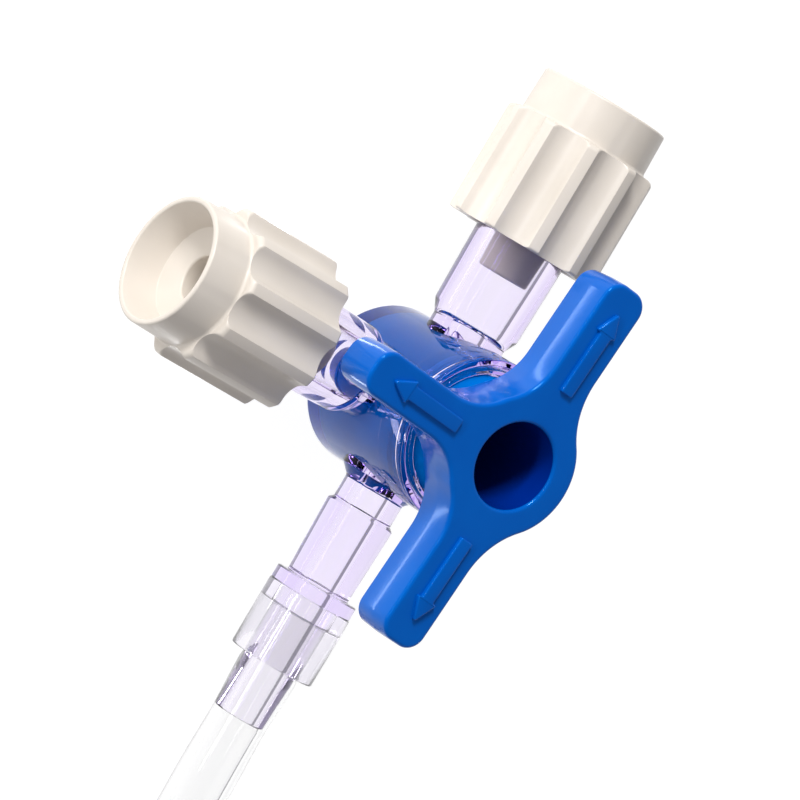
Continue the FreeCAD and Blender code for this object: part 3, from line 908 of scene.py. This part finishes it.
def makeTap(tap):
    # Handle and plug with the arrows joined on and the channels cut. The plug under the handle and the hollow
    # core have their own materials, second and third on the mesh, by the place of each face's centre. The
    # core's is a darker copy of the handle's blue, painted shade in the deep hole.
    mesh = gridMesh("tap", tapPoints(tap), closeColumns=True)
    mesh = combined(mesh, arrowPlates(tap), "UNION")
    mesh = combined(mesh, flowChannels(tap), "DIFFERENCE")
    softened(mesh, tap["sharp"])
    piece = newPiece("tapHandle", mesh, "tap", "tap", plastics["handleBlue"])
    mesh.materials.append(plastics["plugBlue"])
    mesh.materials.append(plastics["corePaintedShade"])
    centre = np.empty(len(mesh.polygons) * 3)
    mesh.polygons.foreach_get("center", centre)
    centre = centre.reshape(-1, 3) / mm
    fromAxis, height = np.hypot(centre[:, 0], centre[:, 1]), centre[:, 2]
    under = tap["top"] - tap["thick"]
    plug = (height < under - tap["plugBelow"]) & (fromAxis > tap["core"] + tap["plugBeyond"])
    # Faces of the hollow core, which take the darker blue of painted shade.
    core = (height > tap["coreFloor"] - tap["coreMargin"]) & (fromAxis < tap["core"] + tap["coreMargin"])
    mesh.polygons.foreach_set("material_index", (plug * 1 + core * 2).astype(np.int32))
    return piece


makeTap(tapShape)
print("tap made")


# Tubing sleeve

sleeveShape = {
    "start": 14.74,
    "length": 5.16,
    "radius": 3.1,
    "spigotHole": 1.45,
    "tubeHole": 2.09,
    "wall": 1.33,
    "flangeEdge": 0.1,
    "openEdge": 0.15,
    "innerEdge": 0.05,
    "around": 128,
}


def makeSleeve(sleeve):
    # The sleeve's section turned about the outlet's axis. Its holes are a hair tighter than what they are
    # bonded to, as the bond leaves no air between them.
    profile = roundedLine([
        (sleeve["spigotHole"], 0, sleeve["innerEdge"]),
        (sleeve["radius"], 0, sleeve["flangeEdge"]),
        (sleeve["radius"], sleeve["length"], sleeve["openEdge"]),
        (sleeve["tubeHole"], sleeve["length"], sleeve["openEdge"]),
        (sleeve["tubeHole"], sleeve["wall"], sleeve["innerEdge"]),
        (sleeve["spigotHole"], sleeve["wall"], sleeve["innerEdge"]),
    ], closed=True)
    points = turnedPoints(profile, sleeve["around"], (sleeve["start"], 0, portHeight), (1, 0, 0), (0, 0, 1))
    mesh = gridMesh("tubeSleeve", points, closeRows=True, closeColumns=True)
    return newPiece("tubeSleeve", mesh, "stopcock", "tube_sleeve", plastics["sleeveClear"])


makeSleeve(sleeveShape)
print("sleeve made")


# Stopcock's body: barrel, two luer ports, outlet with its tubing spigot

bodyShape = {
    "barrel": 5.75,
    "height": 12.85,
    "foot": 1.2,
    "footEdge": 0.45,
    "bore": 4.6,
    "boreEdge": 0.1,
    "leadIn": 0.22,
    "leadDepth": 0.3,
    "lipHeight": 3.0,
    "lipWidth": 0.12,
    "lipRise": 0.15,
    "lipFoot": 0.15,
    "lipUnder": 0.12,
    "lipEdge": 0.16,
    "grooveInner": 5.12,
    "grooveOuter": 5.38,
    "grooveDepth": 0.55,
    "grooveEdge": 0.12,
    "snapHeight": 10.9,
    "snapDepth": 0.22,
    "snapFoot": 0.55,
    "snapCrest": 0.18,
    "flow": 0.95,
    "sharp": 30,
    "around": 256,
}
portShape = {
    "inlineMouth": 15.3,
    "sideMouth": 15.1,
    "start": 4.9,
    "neck": 2.75,
    "neckEnd": 6.25,
    "neckEdge": 0.15,
    "root": 3.2,
    "rootEnd": 7.1,
    "rootEdge": 0.5,
    "radius": 3.35,
    "draft": 0.02,
    "straightEnd": 1.6,
    "straightEdge": 0.1,
    "lug": 3.85,
    "lugWidth": 1.0,
    "lugZone": 1.7,
    "lugAngle": 31,
    "lugFade": 4,
    "lugEdge": 0.12,
    "socketMouth": 2.15,
    "socketTaper": 0.03,
    "socketEnd": 6.7,
    "socketEdge": 0.25,
    "flowEdge": 0.06,
    "chamfer": 0.12,
    "around": 192,
    "socketAround": 128,
}
outletShape = {
    "start": 4.9,
    "boss": 2.9,
    "bossEnd": 5.55,
    "neck": 2.2,
    "neckStart": 6.25,
    "neckEnd": 7.9,
    "neckEdge": 0.3,
    "shoulder": 8.45,
    "shoulderRun": 0.3,
    "shoulderEdge": 0.15,
    "shoulderRound": 0.5,
    "barrel": 2.5,
    "barrelEnd": 2.34,
    "barrelEdge": 0.12,
    "flange": 3.05,
    "flangeStart": 13.75,
    "flangeEnd": 14.75,
    "flangeEdge": 0.15,
    "spigot": 1.46,
    "spigotEnd": 24.1,
    "spigotEdge": 0.15,
    "spigotRoot": 0.05,
    "edge": 0.1,
    "around": 144,
    "flowAround": 64,
}
cutStart = 0.4  # how far within the bore's wall a flow hole's cut starts
cutPast = 1.0  # how far past its mouth a cut ends


def luggedRadius(radius, along, angle, mouth, port):
    # Near the mouth the radius stays under port + (lug - port) * window, where the window is 1 within the
    # lug's angle above and below, and 0 between.
    away = np.degrees(np.arccos(np.abs(np.cos(angle))))
    window = np.clip((port["lugAngle"] + port["lugFade"] / 2 - away) / port["lugFade"], 0, 1)
    limit = port["radius"] + (port["lug"] - port["radius"]) * window
    return np.where(along > mouth - port["lugZone"], np.minimum(radius, limit), radius)


def portMeshes(mouth, direction, port, body):
    # A female luer port from inside the barrel's wall to its mouth, and the cut for its taper and flow hole.
    outside = roundedLine([
        (0, port["start"], 0),
        (port["neck"], port["start"], 0),
        (port["neck"], port["neckEnd"], port["neckEdge"]),
        (port["root"], port["rootEnd"], port["rootEdge"]),
        (port["radius"] - port["draft"], mouth - port["straightEnd"], port["straightEdge"]),
        (port["lug"], mouth - port["lugWidth"], port["lugEdge"]),
        (port["lug"], mouth, port["lugEdge"]),
        (0, mouth, 0),
    ])
    narrow = port["socketMouth"] - port["socketTaper"] * (mouth - port["socketEnd"])
    wide = port["socketMouth"] + port["chamfer"]
    start = body["bore"] - cutStart
    inside = roundedLine([
        (0, start, 0),
        (body["flow"], start, 0),
        (body["flow"], port["socketEnd"], port["flowEdge"]),
        (narrow, port["socketEnd"], port["socketEdge"]),
        (port["socketMouth"], mouth, 0),
        (wide, mouth + port["chamfer"], 0),
        (wide, mouth + cutPast, 0),
        (0, mouth + cutPast, 0),
    ])
    axis = ((0, 0, portHeight), direction, (0, 0, 1))
    radius, along, angle = fullTurn(outside, port["around"])
    radius = luggedRadius(radius, along, angle, mouth, port)
    return (gridMesh("port", onAxis(radius, along, angle, *axis), closeColumns=True),
            gridMesh("socket", turnedPoints(inside, port["socketAround"], *axis), closeColumns=True))


def outletMeshes(outlet, body):
    # The outlet's stepped barrel, flange and spigot, and the cut for its flow hole.
    outside = roundedLine([
        (0, outlet["start"], 0),
        (outlet["boss"], outlet["start"], 0),
        (outlet["boss"], outlet["bossEnd"], outlet["edge"]),
        (outlet["neck"], outlet["neckStart"], outlet["neckEdge"]),
        (outlet["neck"], outlet["neckEnd"], outlet["edge"]),
        (outlet["barrel"], outlet["shoulder"] - outlet["shoulderRun"], outlet["shoulderEdge"]),
        (outlet["barrel"], outlet["shoulder"], outlet["shoulderRound"]),
        (outlet["barrelEnd"], outlet["flangeStart"], outlet["barrelEdge"]),
        (outlet["flange"], outlet["flangeStart"], outlet["flangeEdge"]),
        (outlet["flange"], outlet["flangeEnd"], outlet["edge"]),
        (outlet["spigot"], outlet["flangeEnd"], outlet["spigotRoot"]),
        (outlet["spigot"], outlet["spigotEnd"], outlet["spigotEdge"]),
        (0, outlet["spigotEnd"], 0),
    ])
    start, end = body["bore"] - cutStart, outlet["spigotEnd"] + cutPast
    inside = np.array([(0, start), (body["flow"], start), (body["flow"], end), (0, end)])
    axis = ((0, 0, portHeight), (1, 0, 0), (0, 0, 1))
    return (gridMesh("outlet", turnedPoints(outside, outlet["around"], *axis), closeColumns=True),
            gridMesh("flowHole", turnedPoints(inside, outlet["flowAround"], *axis), closeColumns=True))


def barrelMesh(body):
    # A cup turned about the tap's axis: foot, wall, double lip, lead-in, snap ridge and bore.
    top, bore, snap = body["height"], body["bore"], body["snapHeight"]
    lip, lipStart = body["barrel"] + body["lipWidth"], top - body["lipHeight"]
    cup = roundedLine([
        (0, 0, 0),
        (body["barrel"], 0, body["footEdge"]),
        (body["barrel"], lipStart, body["lipFoot"]),
        (lip, lipStart + body["lipRise"], body["lipUnder"]),
        (lip, top, body["lipEdge"]),
        (body["grooveOuter"], top, body["boreEdge"]),
        (body["grooveOuter"], top - body["grooveDepth"], body["grooveEdge"]),
        (body["grooveInner"], top - body["grooveDepth"], body["grooveEdge"]),
        (body["grooveInner"], top, body["boreEdge"]),
        (bore + body["leadIn"], top, body["boreEdge"]),
        (bore, top - body["leadDepth"], body["boreEdge"]),
        (bore, snap + body["snapFoot"], body["boreEdge"]),
        (bore - body["snapDepth"], snap + body["snapCrest"], body["boreEdge"]),
        (bore - body["snapDepth"], snap - body["snapCrest"], body["boreEdge"]),
        (bore, snap - body["snapFoot"], body["boreEdge"]),
        (bore, body["foot"], body["boreEdge"]),
        (0, body["foot"], 0),
    ])
    points = turnedPoints(cup, body["around"], (0, 0, 0), (0, 0, 1), (1, 0, 0))
    return gridMesh("stopcockBody", points, closeColumns=True)


def makeBody(body, port, outlet):
    # The barrel joined with its ports and outlet, then cut by their sockets and flow holes.
    inlinePort, inlineSocket = portMeshes(port["inlineMouth"], (-1, 0, 0), port, body)
    sidePort, sideSocket = portMeshes(port["sideMouth"], (0, -1, 0), port, body)
    outletRod, flowHole = outletMeshes(outlet, body)
    mesh = combined(barrelMesh(body), [inlinePort, sidePort, outletRod], "UNION")
    mesh = combined(mesh, [inlineSocket, sideSocket, flowHole], "DIFFERENCE")
    softened(mesh, body["sharp"])
    return newPiece("stopcockBody", mesh, "stopcock", "stopcock_body",
                    plastics["violetClear"])


makeBody(bodyShape, portShape, outletShape)
print("body made")


# Table and light, in metres and watts

table = {
    "reach": 3.0,
    "sink": 0.00002,
    "color": (0.12, 0.12, 0.12),
    "roughness": 0.7,
    "glow": 0.96,
    "sky": (0.96, 0.96, 1.0),
    "skyStrength": 0.38,
}
softboxes = [
    {"place": (-0.37, -0.34, 0.28), "aim": (0, 0, 0), "size": (0.14, 0.14), "power": 2.8},
    {"place": (-0.05, -0.50, 0.20), "aim": (0, 0, 0.01), "size": (0.4, 0.04), "power": 0.9},
    {"place": (0, -0.0137, 0.0001), "aim": (0, -0.0137, 1), "size": (0.034, 0.002), "power": 0.0018},
]


def setTable():
    # A white plate that gives off light of its own, a hair under the object's foot, and an even pale sky.
    reach, level = table["reach"], -table["sink"]
    corners = np.array([[(reach, -reach, level), (reach, reach, level)],
                        [(-reach, -reach, level), (-reach, reach, level)]])
    material = newMaterial("tableWhite", {
        "Base Color": (*table["color"], 1),
        "Roughness": table["roughness"],
        "Emission Color": (1, 1, 1, 1),
        "Emission Strength": table["glow"],
    })[0]
    floor = bpy.data.objects.new("table", gridMesh("table", corners))
    floor.data.materials.append(material)
    scene.collection.objects.link(floor)
    world = bpy.data.worlds.new("studio")
    world.use_nodes = True
    background = world.node_tree.nodes["Background"]
    background.inputs["Color"].default_value = (*table["sky"], 1)
    background.inputs["Strength"].default_value = table["skyStrength"]
    scene.world = world


def hangSoftboxes():
    # White oblong lights, each at its place and facing its aim.
    for number, box in enumerate(softboxes):
        data = bpy.data.lights.new("softbox%d" % number, "AREA")
        data.shape = "RECTANGLE"
        data.size, data.size_y = box["size"]
        data.energy = box["power"]
        light = bpy.data.objects.new(data.name, data)
        scene.collection.objects.link(light)
        aim = Vector(box["aim"]) - Vector(box["place"])
        turn = aim.to_track_quat("-Z", "Y").to_matrix().to_4x4()
        light.matrix_world = Matrix.Translation(box["place"]) @ turn


setTable()
hangSoftboxes()
print("table and light set")
